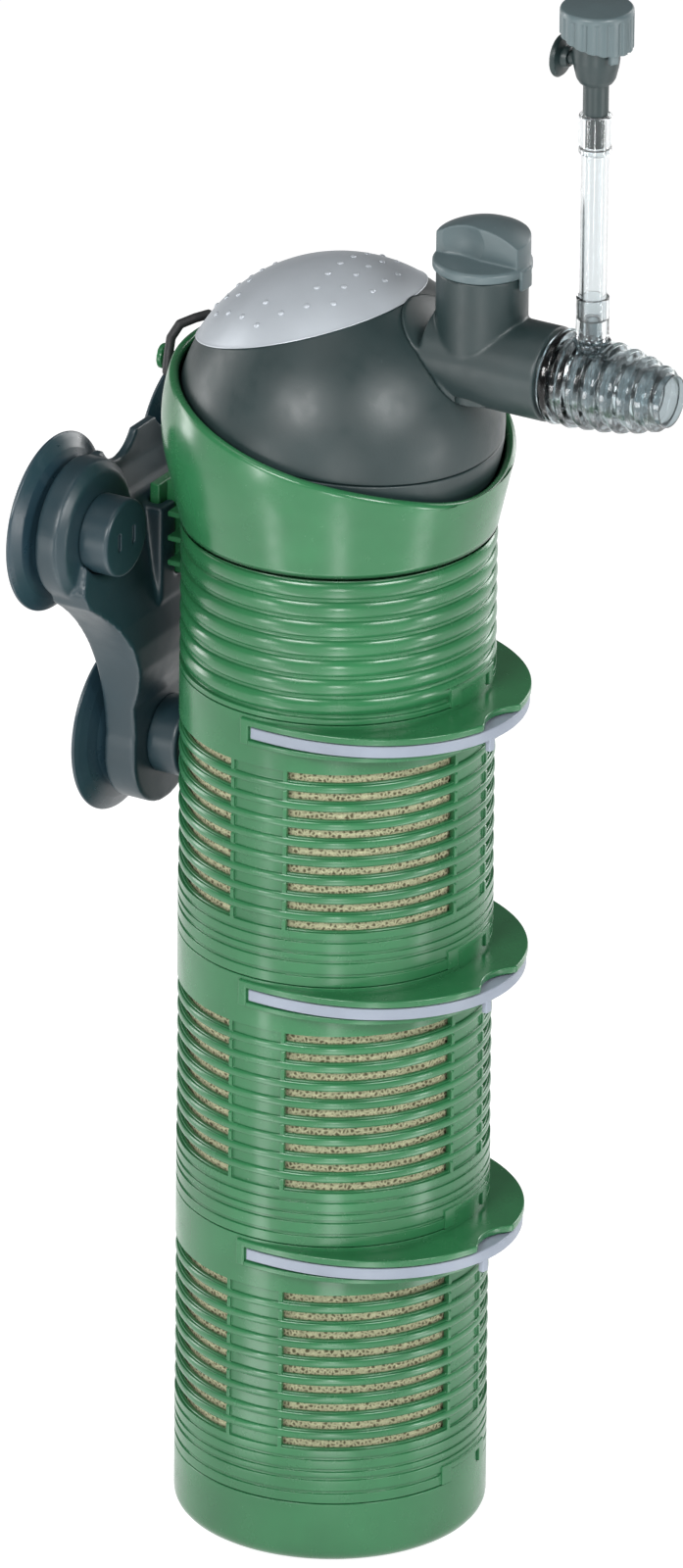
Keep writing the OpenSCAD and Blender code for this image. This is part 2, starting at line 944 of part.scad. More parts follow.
module outlet_nozzle() {
    start = pipe_end + 0.3;
    plug_r = tee_bore_r - fit_play;
    color(clear_plastic)
        at_ball()
            translate([0, 0, outlet_h])
                difference() {
                    union() {
                        difference() {
                            along_x(start, 0, 0)
                                rotate_extrude()
                                    polygon(concat(
                                        [[0, -8], [plug_r, -8], [plug_r, 0], [11.6, 0], [11.6, 1]],
                                        [for (i = [0:len(nozzle_steps) - 1])
                                            each let (z = 1 + i * nozzle_pitch, r = nozzle_steps[i])
                                            [[r - 0.5, z], [r, z + 0.5], [r, z + 1.6], [r - 0.5, z + 2.1],
                                            [r - 1.9, z + 2.5], [r - 1.9, z + nozzle_pitch - 0.1]]],
                                        [[0, nozzle_tip - start]]
                                    ));
                            translate([air_x, 0, coupler_z0 - 0.3])
                                cylinder(r = coupler_r + 0.3, h = 5);
                        }
                        translate([air_x, 0, 0])
                            cylinder(r = coupler_r + 0.6, h = coupler_z0 - 0.1);
                        translate([air_x, 0, 0])
                            cylinder(r = nipple_r, h = tube_z0);
                    }
                    along_x(start - 9, 0, 0)
                        cylinder(r = nozzle_bore_r, h = 60);
                    along_x(start - 4.4, 0, 0)
                        ring(plug_r - 1, plug_r + 1, -1, 1);
                    translate([air_x, 0, 0])
                        cylinder(r = 1.2, h = 40);
                }
}

module nozzle_seal() {
    color(black_rubber)
        at_ball()
            along_x(pipe_end + 0.3 - 4.4, 0, outlet_h)
                rotate_extrude()
                    translate([tee_bore_r - fit_play - 0.5, 0])
                        circle(0.5, $fn = 24);
}

module at_air() {
    translate([air_x, 0, ball_z + outlet_h])
        children();
}

module lower_coupler() {
    color(clear_plastic)
        at_air()
            rotate_extrude()
                polygon([
                    [nipple_r + 0.03, coupler_z0], [coupler_r - 0.3, coupler_z0],
                    [coupler_r, coupler_z0 + 0.4], [coupler_r, coupler_z1 - 0.4],
                    [coupler_r - 0.3, coupler_z1], [tube_r + 0.02, coupler_z1],
                    [tube_r + 0.02, tube_z0], [nipple_r + 0.03, tube_z0]
                ]);
}

module air_tube() {
    color(clear_plastic)
        at_air()
            ring(tube_bore_r, tube_r, tube_z0 + 0.05, tube_z1);
}

module upper_coupler() {
    color(clear_plastic)
        at_air()
            rotate_extrude()
                polygon([
                    [tube_r + 0.02, top_coupler_z0], [coupler_r - 0.2, top_coupler_z0],
                    [coupler_r, top_coupler_z0 + 0.4], [coupler_r, top_coupler_z1 - 0.4],
                    [coupler_r - 0.3, top_coupler_z1], [2.75, top_coupler_z1],
                    [2.75, tube_z1 + 0.05], [tube_r + 0.02, tube_z1 + 0.05]
                ]);
}

module air_valve() {
    color(ball_grey)
        at_air()
            difference() {
                union() {
                    rotate_extrude()
                        polygon(concat(
                            [[0, tube_z1 + 0.2]],
                            arc([1.5, tube_z1 + 1.4], 1.2, -90, 0, 4),
                            [[2.7, top_coupler_z1 + 0.05], [3.4, top_coupler_z1 + 0.05]],
                            [[3.4, valve_body_z - 1.4], [4.4, valve_body_z - 1.4]],
                            [[body_r - 1, valve_body_z], [body_r - 0.3, valve_body_z + 3]],
                            [[body_r, valve_body_z + 5], [body_r, valve_body_top], [0, valve_body_top]]
                        ));
                    along_x(pad_x - air_x + 1.4, 0, pad_z)
                        cylinder(r = 1.8, h = 6, $fn = 32);
                }
                translate([0, 0, valve_body_top - 8])
                    cylinder(r = 2.1, h = 10);
                translate([0, 0, tube_z1])
                    cylinder(r = 1, h = 30);
            }
}

module valve_pad() {
    color(ball_grey)
        at_air()
            along_x(pad_x - air_x - 0.8, 0, pad_z)
                difference() {
                    rotate_extrude()
                        polygon([[0, 0.6], [4.6, 0], [5.7, 0], [5.9, 0.5], [5.2, 1.3], [3, 1.8],
                            [2.6, 3.4], [0, 3.4]]);
                    translate([0, 0, 2.15])
                        cylinder(r = 1.8, h = 4, $fn = 32);
                }
}

// Fluted regulator cap with a slanted lower edge
module air_cap() {
    flutes = 18;
    color(knob_grey)
        at_air()
            difference() {
                union() {
                    difference() {
                        rotate_extrude()
                            polygon(concat(
                                [[0, cap_z0 - 2], [air_cap_r, cap_z0 - 2]],
                                arc([air_cap_r - 1.2, cap_top - 1.2], 1.2, 0, 60, 3),
                                [[air_cap_r - 2.6, cap_top], [0, cap_top + 0.6]]
                            ));
                        translate([0, 0, cap_z0 + 2.6])
                            rotate([0, 13, 0])
                                translate([-20, -20, -20])
                                    cube([40, 40, 20]);
                        for (i = [0:flutes - 1])
                            rotate([0, 0, i * 360 / flutes])
                                translate([air_cap_r + 0.55, 0, cap_z0 - 3])
                                    cylinder(r = 1, h = cap_top - cap_z0 + 1, $fn = 16);
                        translate([0, 0, cap_z0 - 4])
                            cylinder(r = body_r + 0.35, h = valve_body_top - cap_z0 + 4.4);
                    }
                    translate([0, 0, valve_body_top - 5])
                        cylinder(r = 2.05, h = 8);
                    rotate([0, 0, -28])
                        translate([air_cap_r - 2.4, -1.2, cap_z0 - 1.6])
                            cube([1.6, 2.4, 5]);
                }
            }
}

base_cap();
lower_shell();
middle_shell();
upper_shell();
lower_grate();
middle_grate();
upper_grate();
lower_sponge();
middle_sponge();
upper_sponge();
lower_slider();
middle_slider();
upper_slider();
pump_holder();
ball_seat();
suction_pipe();
cord_hook();
cord_gland();
bracket_plate();
left_cup();
right_cup();
bottom_cup();
left_cup_cap();
right_cup_cap();
bottom_cup_cap();
lower_housing();
upper_housing();
housing_seal();
top_cover();
outlet_tee();
pump_chamber();
delivery_duct();
rotor_well();
stator_core();
coil();
rotor_shaft();
upper_bush();
shaft_support();
rotor_magnet();
impeller();
flow_knob();
flow_valve();
valve_seal();
outlet_nozzle();
nozzle_seal();
lower_coupler();
air_tube();
upper_coupler();
air_valve();
valve_pad();
air_cap();
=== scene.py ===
"""Looks of the stackable aquarium filter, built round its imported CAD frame.

Lengths in this script are in millimetres and angles in degrees, and the helpers that make meshes turn
them into the frame's metres. +Z is up, the outlet points along +X and the suction cups face -X.
"""

import json
import math

import bmesh
import bpy
import numpy as np
from mathutils import Matrix, Vector, noise


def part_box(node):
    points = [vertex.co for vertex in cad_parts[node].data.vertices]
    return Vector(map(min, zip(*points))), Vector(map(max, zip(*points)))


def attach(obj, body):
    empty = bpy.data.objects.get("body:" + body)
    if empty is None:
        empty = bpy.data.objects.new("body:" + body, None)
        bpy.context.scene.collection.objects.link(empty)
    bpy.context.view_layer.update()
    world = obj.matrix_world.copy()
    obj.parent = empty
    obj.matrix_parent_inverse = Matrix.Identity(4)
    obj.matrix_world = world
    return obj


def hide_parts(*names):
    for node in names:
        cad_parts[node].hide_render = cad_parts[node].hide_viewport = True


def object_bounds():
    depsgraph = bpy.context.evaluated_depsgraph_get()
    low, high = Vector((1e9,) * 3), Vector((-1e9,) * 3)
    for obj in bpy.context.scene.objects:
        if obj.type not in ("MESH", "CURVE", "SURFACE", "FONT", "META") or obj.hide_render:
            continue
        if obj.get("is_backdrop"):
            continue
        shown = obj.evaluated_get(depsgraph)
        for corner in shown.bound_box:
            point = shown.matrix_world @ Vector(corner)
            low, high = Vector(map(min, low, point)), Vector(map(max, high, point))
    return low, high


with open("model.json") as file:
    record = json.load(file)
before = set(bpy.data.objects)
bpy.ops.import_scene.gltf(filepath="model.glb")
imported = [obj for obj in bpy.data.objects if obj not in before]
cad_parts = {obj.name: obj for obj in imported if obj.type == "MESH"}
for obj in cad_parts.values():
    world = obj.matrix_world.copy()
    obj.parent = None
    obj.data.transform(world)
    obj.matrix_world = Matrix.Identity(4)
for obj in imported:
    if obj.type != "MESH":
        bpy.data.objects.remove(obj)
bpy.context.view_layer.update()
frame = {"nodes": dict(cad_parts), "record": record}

MM = 0.001
CHAMBERS = ("lower", "middle", "upper")


def corners(node):
    """Lowest and highest corner of a CAD node, in millimetres."""
    low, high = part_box(node)
    return low / MM, high / MM


# ---------- Sizes shared by several pieces ----------

SEAM_GAP = 0.3
CAN_R = corners("base_cap")[1].y
WALL_IN_R = CAN_R - 3
ROOM_R = CAN_R - 1.9
SPIGOT_R = CAN_R - 3.4
SPIGOT_IN_R = CAN_R - 5.4
SPIGOT_RISE = 6.3
SEAMS = [corners(f"{name}_shell")[0].z - SEAM_GAP for name in CHAMBERS]
HOLDER_SEAM = corners("pump_holder")[0].z - SEAM_GAP
CHAMBER_H = SEAMS[1] - SEAMS[0]

KEY_HALF = 9.35
KEY_RISE = 3.8
NOTCH_HALF = KEY_HALF + 0.5
NOTCH_RISE = KEY_RISE + 0.35
FRAME_HALF = NOTCH_HALF + 5.2
FRAME_RISE = KEY_RISE + 1.9

FLANGE_AZ = -5.5
BALL_R = 43.6
BOWL_R = BALL_R + 3.6
BOWL_IN_R = BALL_R + 0.8
TEE_TOP = 52.2
BALL_Z = corners("outlet_tee")[1].z - TEE_TOP
OUTLET_Z = BALL_Z + 26.8
PIPE_END = 65.0
AIR_X = 75.7


# ---------- Mesh helpers ----------

def weight_normals(mesh):
    """Smooth normals in which large faces count most, so a flat face stays flat beside a bevel."""
    faces = mesh.polygons
    counts, areas = np.empty(len(faces), int), np.empty(len(faces))
    directions, used = np.empty((len(faces), 3)), np.empty(len(mesh.loops), int)
    faces.foreach_get("loop_total", counts)
    faces.foreach_get("area", areas)
    faces.foreach_get("normal", directions.ravel())
    mesh.loops.foreach_get("vertex_index", used)
    normals = np.zeros((len(mesh.vertices), 3))
    np.add.at(normals, used, np.repeat(directions * areas[:, None], counts, axis=0))
    lengths = np.maximum(np.linalg.norm(normals, axis=1), 1e-30)
    mesh.normals_split_custom_set_from_vertices((normals / lengths[:, None]).tolist())


def new_piece(name, mesh, body, finish, replaces=()):
    """Links a mesh as a piece that rides on a body and takes a material slot's finish."""
    obj = bpy.data.objects.new(name, mesh)
    bpy.context.scene.collection.objects.link(obj)
    mesh.materials.clear()
    mesh.materials.append(finish)
    mesh.shade_smooth()
    weight_normals(mesh)
    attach(obj, body)
    if replaces:
        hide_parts(*replaces)
    return obj


def mesh_of(verts, faces, name="part"):
    mesh = bpy.data.meshes.new(name)
    mesh.from_pydata([tuple(v) for v in np.asarray(verts, float) * MM], [], faces)
    mesh.validate()
    mesh.update()
    return mesh


def cleaned(mesh, merge=0.002):
    """Merges coincident vertices and points all normals outwards."""
    bm = bmesh.new()
    bm.from_mesh(mesh)
    bmesh.ops.remove_doubles(bm, verts=bm.verts, dist=merge * MM)
    bmesh.ops.recalc_face_normals(bm, faces=bm.faces)
    bm.to_mesh(mesh)
    bm.free()
    return mesh


def joined(meshes):
    """One mesh with the faces of several."""
    bm = bmesh.new()
    for mesh in meshes:
        bm.from_mesh(mesh)
    out = bpy.data.meshes.new("joined")
    bm.to_mesh(out)
    bm.free()
    return out


def evaluated(obj):
    """Mesh of an object with its modifiers applied."""
    bpy.context.view_layer.update()
    dg = bpy.context.evaluated_depsgraph_get()
    return bpy.data.meshes.new_from_object(obj.evaluated_get(dg))


def worked(mesh, *modifiers):
    """A mesh after modifiers, each given as (type, settings)."""
    obj = bpy.data.objects.new("work", mesh)
    bpy.context.scene.collection.objects.link(obj)
    for kind, settings in modifiers:
        modifier = obj.modifiers.new(kind.lower(), kind)
        for key, value in settings.items():
            setattr(modifier, key, value)
    out = evaluated(obj)
    bpy.data.objects.remove(obj)
    return out


def bevelled(mesh, width=0.3, segments=2, angle=35):
    """Rounds a mesh's sharp edges."""
    return worked(
        mesh,
        ("BEVEL", {"width": width * MM, "segments": segments, "limit_method": "ANGLE",
                   "angle_limit": math.radians(angle), "use_clamp_overlap": False}),
    )


def softened(node, voxel, rounds):
    """A CAD node's shape with rounded edges and soft inner corners."""
    return worked(
        cleaned(frame["nodes"][node].data.copy()),
        ("REMESH", {"mode": "VOXEL", "voxel_size": voxel * MM, "adaptivity": 0.0}),
        ("SMOOTH", {"factor": 0.5, "iterations": rounds}),
    )


def revolved(points, steps=96, axis="Z", at=(0, 0, 0), close=True):
    """Closed mesh of a profile of (radius, height) points turned round an axis through a point."""
    points = [(max(r, 0.0), z) for r, z in points]
    turns = np.radians(np.arange(steps) * 360 / steps)
    verts, faces, n = [], [], len(points)
    for t in turns:
        for r, z in points:
            verts.append((r * math.cos(t), r * math.sin(t), z))
    for i in range(steps):
        j = (i + 1) % steps
        for k in range(n if close else n - 1):
            m = (k + 1) % n
            faces.append((i * n + k, j * n + k, j * n + m, i * n + m))
    verts = np.array(verts)
    if axis == "X":
        verts = verts[:, [2, 0, 1]]
    verts = verts + np.array(at)
    return cleaned(mesh_of(verts, faces))


def rounded_profile(points, radius, segments=3):
    """Rounds the corners of a closed profile. A point may carry its own radius as a third number."""
    out, n = [], len(points)
    for i, point in enumerate(points):
        here = Vector(point[:2])
        before, after = Vector(points[i - 1][:2]), Vector(points[(i + 1) % n][:2])
        r = point[2] if len(point) > 2 else radius
        u, v = before - here, after - here
        if r <= 0 or u.length < 1e-6 or v.length < 1e-6 or point[0] <= 1e-6:
            out.append(tuple(here))
            continue
        half = u.angle(v) / 2
        back = min(r / math.tan(half), u.length * 0.48, v.length * 0.48) if half > 0.05 else 0
        a, b = here + u.normalized() * back, here + v.normalized() * back
        for s in range(segments + 1):
            t = s / segments
            out.append(tuple(a * (1 - t) ** 2 + here * 2 * t * (1 - t) + b * t * t))
    return out


def box_mesh(low, high, width=0.3):
    """A block between two corners, with rounded edges."""
    bm = bmesh.new()
    bmesh.ops.create_cube(bm, size=1)
    low, high = Vector(low), Vector(high)
    for v in bm.verts:
        v.co = Vector(((low + high) / 2)[i] + v.co[i] * (high - low)[i] for i in range(3)) * MM
    mesh = bpy.data.meshes.new("block")
    bm.to_mesh(mesh)
    bm.free()
    return bevelled(mesh, width)


def cells_mesh(steps, warp=None, spacing=3.0):
    """Solid made of ring sectors on one cylindrical grid.

    Each step is ("+" or "-", a0, a1, r0, r1, z0, z1) and fills or clears a sector, in order. warp
    takes arrays of angle, radius and height and returns the radius and height to use.
    """
    def levels(columns):
        return sorted({round(float(s[c]), 4) for s in steps for c in columns})

    keys = sorted({round(float(s[c]) % 360, 4) for s in steps if s[2] - s[1] < 359.9 for c in (1, 2)})
    keys = keys or [0.0]
    angles = []
    for a, b in zip(keys, keys[1:] + [keys[0] + 360]):
        count = max(1, math.ceil((b - a) / spacing - 1e-6))
        angles += [a + (b - a) * i / count for i in range(count)]
    angles = np.array(angles)
    radii, heights = np.array(levels((3, 4))), np.array(levels((5, 6)))
    mid_a = (angles + np.append(angles[1:], angles[0] + 360)) / 2
    mid_r, mid_z = (radii[1:] + radii[:-1]) / 2, (heights[1:] + heights[:-1]) / 2
    filled = np.zeros((len(mid_a), len(mid_r), len(mid_z)), bool)
    for sign, a0, a1, r0, r1, z0, z1 in steps:
        in_a = (mid_a - a0) % 360 < (a1 - a0) + 1e-6
        in_r = (mid_r > r0) & (mid_r < r1)
        in_z = (mid_z > z0) & (mid_z < z1)
        filled[np.ix_(in_a, in_r, in_z)] = sign == "+"
    na, nr, nz = len(angles), len(radii), len(heights)

    def vertex(i, j, k):
        return (i % na) * nr * nz + j * nz + k

    faces = []
    around = np.roll(filled, -1, 0)
    for i, j, k in np.argwhere(filled & ~around):
        faces.append([vertex(i + 1, j, k), vertex(i + 1, j, k + 1), vertex(i + 1, j + 1, k + 1),
                      vertex(i + 1, j + 1, k)])
    for i, j, k in np.argwhere(~filled & around):
        faces.append([vertex(i + 1, j, k), vertex(i + 1, j + 1, k), vertex(i + 1, j + 1, k + 1),
                      vertex(i + 1, j, k + 1)])
    room = np.pad(filled, ((0, 0), (1, 1), (1, 1)))
    here = room[:, :-1, 1:-1], room[:, 1:, 1:-1]
    for i, j, k in np.argwhere(here[0] & ~here[1]):
        faces.append([vertex(i, j, k), vertex(i + 1, j, k), vertex(i + 1, j, k + 1), vertex(i, j, k + 1)])
    for i, j, k in np.argwhere(~here[0] & here[1]):
        faces.append([vertex(i, j, k), vertex(i, j, k + 1), vertex(i + 1, j, k + 1), vertex(i + 1, j, k)])
    here = room[:, 1:-1, :-1], room[:, 1:-1, 1:]
    for i, j, k in np.argwhere(here[0] & ~here[1]):
        faces.append([vertex(i, j, k), vertex(i, j + 1, k), vertex(i + 1, j + 1, k), vertex(i + 1, j, k)])
    for i, j, k in np.argwhere(~here[0] & here[1]):
        faces.append([vertex(i, j, k), vertex(i + 1, j, k), vertex(i + 1, j + 1, k), vertex(i, j + 1, k)])

    used, flat = np.unique(np.array(faces), return_inverse=True)
    a = angles[used // (nr * nz)]
    r = radii[used // nz % nr]
    z = heights[used % nz]
    if warp:
        r, z = warp(a, r, z)
    turn = np.radians(a)
    verts = np.column_stack([r * np.cos(turn), r * np.sin(turn), z])
    return mesh_of(verts, flat.reshape(-1, 4).tolist())


def moved(mesh, offset):
    """A copy of a mesh, shifted."""
    out = mesh.copy()
    out.transform(Matrix.Translation(Vector(offset) * MM))
    return out


# ---------- Materials ----------

def material(name, colour, roughness, **sockets):
    """Material with a Principled shader: (material, its node tree, its shader)."""
    mat = bpy.data.materials.new(name)
    mat.use_nodes = True
    shader = mat.node_tree.nodes["Principled BSDF"]
    shader.inputs["Base Color"].default_value = (*colour, 1)
    shader.inputs["Roughness"].default_value = roughness
    for socket, value in sockets.items():
        shader.inputs[socket.replace("_", " ")].default_value = value
    return mat, mat.node_tree, shader


def node(tree, kind, **settings):
    """Adds a shader node; a setting is an input socket's value or one of the node's properties."""
    made = tree.nodes.new(kind)
    for key, value in settings.items():
        if key in made.inputs:
            made.inputs[key].default_value = value
        else:
            setattr(made, key, value)
    return made


def place(tree):
    """Socket with the point in the object's own space."""
    return node(tree, "ShaderNodeTexCoord").outputs["Object"]


def noise_value(tree, where, scale, detail=3.0, rough=0.5):
    """Noise with that many waves per millimetre."""
    made = node(tree, "ShaderNodeTexNoise", Scale=scale / MM, Detail=detail, Roughness=rough)
    tree.links.new(where, made.inputs["Vector"])
    return made.outputs["Fac"]


def remapped(tree, value, low, high, to_low, to_high):
    """Value moved from one range to another, and held inside it."""
    made = node(tree, "ShaderNodeMapRange")
    for socket, number in zip(("From Min", "From Max", "To Min", "To Max"), (low, high, to_low, to_high)):
        made.inputs[socket].default_value = number
    tree.links.new(value, made.inputs["Value"])
    return made.outputs["Result"]


def mixed(tree, factor, first, second):
    """Colour mixed by a factor socket; a colour is a tuple or a socket."""
    made = node(tree, "ShaderNodeMix", data_type="RGBA")
    tree.links.new(factor, made.inputs[0])
    for socket, colour in ((made.inputs[6], first), (made.inputs[7], second)):
        if isinstance(colour, tuple):
            socket.default_value = (*colour, 1)
        else:
            tree.links.new(colour, socket)
    return made.outputs[2]


def bumped(tree, shader, height, distance):
    """Bump from a height socket; the distance is the height of a full step."""
    made = node(tree, "ShaderNodeBump", Strength=1.0, Distance=distance * MM)
    tree.links.new(height, made.inputs["Height"])
    tree.links.new(made.outputs["Normal"], shader.inputs["Normal"])


def linear(red, green, blue):
    """Scene colour of an 8-bit screen colour."""
    def channel(value):
        value /= 255
        return value / 12.92 if value <= 0.04045 else ((value + 0.055) / 1.055) ** 2.4
    return channel(red), channel(green), channel(blue)


def moulded(name, colour, roughness, grain=0.012, grain_scale=2.2, vary=0.12, edge=0.25, **sockets):
    """Injection-moulded plastic: cloudy colour, uneven gloss, fine grain and sharp edges painted paler as
    a painted highlight.
    """
    mat, tree, shader = material(name, colour, roughness, **sockets)
    where = place(tree)
    clouds = noise_value(tree, where, 0.045, 4.0, 0.55)
    darker = tuple(c * (1 - vary) for c in colour)
    lighter = tuple(min(1.0, c * (1 + vary)) for c in colour)
    body = mixed(tree, remapped(tree, clouds, 0.3, 0.7, 0, 1), darker, lighter)
    # Sharp edges, found by pointiness, are painted paler: a painted highlight on the crests.
    painted_edge_highlight = tuple(min(1.0, c * 1.5 + 0.05) for c in colour)
    point = node(tree, "ShaderNodeNewGeometry").outputs["Pointiness"]
    edge_highlight_mask = remapped(tree, point, 0.53, 0.62, 0, edge)
    tree.links.new(mixed(tree, edge_highlight_mask, body, painted_edge_highlight), shader.inputs["Base Color"])
    smears = noise_value(tree, where, 0.16, 5.0, 0.6)
    tree.links.new(remapped(tree, smears, 0.3, 0.7, roughness - 0.05, roughness + 0.07),
                   shader.inputs["Roughness"])
    bumped(tree, shader, noise_value(tree, where, grain_scale, 2.0, 0.5), grain)
    return mat


def foam(name, colour, dark):
    """Open-cell sponge: pale struts round pores of mixed sizes, painted dark as painted shade in the open
    cells.
    """
    mat, tree, shader = material(name, colour, 0.9, Specular_IOR_Level=0.2)
    where = place(tree)
    cells = node(tree, "ShaderNodeTexVoronoi", feature="DISTANCE_TO_EDGE", Scale=0.85 / MM)
    tree.links.new(where, cells.inputs["Vector"])
    # Pores are painted dark: painted shade inside the open cells.
    pore_shade = remapped(tree, cells.outputs["Distance"], 0.08, 0.32, 0, 1)
    grit = noise_value(tree, where, 1.3, 4.0, 0.7)
    pale = mixed(tree, remapped(tree, grit, 0.35, 0.65, 0, 1), colour, tuple(c * 0.72 for c in colour))
    tree.links.new(mixed(tree, pore_shade, pale, dark), shader.inputs["Base Color"])
    bumped(tree, shader, grit, 0.5)
    return mat


def clear(name, tint, roughness):
    """Clear moulded plastic with faint flow marks."""
    mat, tree, shader = material(name, tint, roughness, IOR=1.46, Transmission_Weight=1.0)
    where = place(tree)
    smears = noise_value(tree, where, 0.3, 3.0, 0.5)
    tree.links.new(remapped(tree, smears, 0.3, 0.7, roughness, roughness + 0.05),
                   shader.inputs["Roughness"])
    bumped(tree, shader, noise_value(tree, where, 0.5, 2.0, 0.5), 0.03)
    return mat


def metal(name, colour, roughness):
    """Metal with faint streaks in its colour and gloss."""
    mat, tree, shader = material(name, colour, roughness, Metallic=1.0)
    where = place(tree)
    streaks = noise_value(tree, where, 0.8, 4.0, 0.6)
    tree.links.new(remapped(tree, streaks, 0.3, 0.7, roughness - 0.08, roughness + 0.1),
                   shader.inputs["Roughness"])
    darker = tuple(c * 0.8 for c in colour)
    tree.links.new(mixed(tree, streaks, colour, darker), shader.inputs["Base Color"])
    bumped(tree, shader, streaks, 0.01)
    return mat


FINISH = {
    "green_plastic": moulded("green_plastic", linear(36, 93, 57), 0.23, grain=0.002, edge=0),
    "slider_plastic": moulded("slider_plastic", linear(118, 126, 138), 0.42),
    "ball_plastic": moulded("ball_plastic", linear(25, 40, 41), 0.42, grain=0.02, grain_scale=1.6,
                            edge=0.1),
    "cover_plastic": moulded("cover_plastic", linear(160, 166, 172), 0.42, vary=0.05, Metallic=0.3),
    "knob_plastic": moulded("knob_plastic", linear(70, 84, 87), 0.4),
    "bracket_plastic": moulded("bracket_plastic", linear(24, 44, 51), 0.38, edge=0.1, grain=0.006),
    "cup_rubber": moulded("cup_rubber", linear(27, 47, 56), 0.3, edge=0.1, grain=0.006),
    "seal_rubber": moulded("seal_rubber", linear(26, 28, 30), 0.6),
    "impeller_plastic": moulded("impeller_plastic", linear(200, 200, 195), 0.4),
    "ceramic": moulded("ceramic", linear(235, 232, 225), 0.25, vary=0.04),
    "magnet": moulded("magnet", linear(40, 40, 42), 0.5),
    "clear_plastic": clear("clear_plastic", (0.82, 0.85, 0.86), 0.08),
    "steel": metal("steel", linear(170, 172, 175), 0.35),
    "copper": metal("copper", linear(190, 110, 60), 0.35),
    "sponge": foam("sponge", linear(184, 184, 150), linear(88, 84, 62)),
}

SMOKY = clear("smoky_plastic", (0.38, 0.44, 0.46), 0.12)

slot_of = {s["node"]: s["material_slot"] for s in frame["record"]["subparts"]}
for name, obj in frame["nodes"].items():
    obj.data.materials.clear()
    obj.data.materials.append(FINISH[slot_of[name]])


def piece(name, mesh, body, *nodes, slot=None):
    """A piece that stands for CAD nodes; its slot is theirs unless it is given."""
    slot = slot or slot_of[nodes[0]]
    return new_piece(name, mesh, body, FINISH[slot], nodes)


# ---------- Stack: base, chambers, flanges, sliders, sponges ----------

EDGE = 0.3
FRAME_R = CAN_R + 0.6
RECESS_R = CAN_R - 0.8
GROOVE_R = CAN_R - 0.5
SLOT_PITCH = 5.34
SLOT_ROWS = 9
SLOT_H = 2.4
RECESS_H = 3.1
TOP_SLOT_DROP = 15.7
FIRST_SLOT = CHAMBER_H - TOP_SLOT_DROP - (SLOT_ROWS - 1) * SLOT_PITCH
STRIP_A = 23.5
SLOT_HALF_A = (90 - STRIP_A) / 2
BAR_A = 1.6
CREST_H = SLOT_PITCH - RECESS_H
CREST_ROWS = (0, 0.14, 0.32, 0.5, 0.68, 0.86, 1)
CREST_ROUND = 0.38
LINES = (3.5, 7.5, 10.0, 13.4)
LIP_Z, GRATE_Z = 7.05, 8.4
RING_Z = CHAMBER_H - 10.9


def base_mesh():
    """Cup with a rounded foot, a spigot on top and a key tooth at its seam."""
    low, fillet = SEAMS[0], 4.0
    rows = [0, 0.35, 1.0, 1.9, 2.9, fillet, low]
    steps = [("+", 0, 360, 0, CAN_R, a, b) for a, b in zip(rows, rows[1:])]
    steps += [
        ("-", 0, 360, 0, WALL_IN_R, 6, low),
        ("+", 0, 360, SPIGOT_IN_R, SPIGOT_R, 6, low + SPIGOT_RISE),
        ("+", 0, 360, SPIGOT_IN_R, WALL_IN_R, 6, low),
        ("+", -KEY_HALF, KEY_HALF, WALL_IN_R, CAN_R, low, low + KEY_RISE),
    ]

    def warp(a, r, z):
        drop = np.clip(fillet - z, 0, fillet)
        rounded = CAN_R - fillet + np.sqrt(fillet ** 2 - drop ** 2)
        return np.where((r > CAN_R - 0.01) & (z < fillet), rounded, r), z

    return bevelled(cleaned(cells_mesh(steps, warp)), EDGE)


def seam_steps(low, top):
    """Steps for the wall of a unit that stands on a seam, and for its notch for the key tooth below."""
    return [
        ("+", 0, 360, WALL_IN_R, CAN_R, low + SEAM_GAP, top),
    ], [
        ("+", -FRAME_HALF, FRAME_HALF, WALL_IN_R, FRAME_R, low + SEAM_GAP, low + FRAME_RISE),
        ("-", -NOTCH_HALF, NOTCH_HALF, WALL_IN_R, FRAME_R, low + SEAM_GAP, low + NOTCH_RISE),
    ]


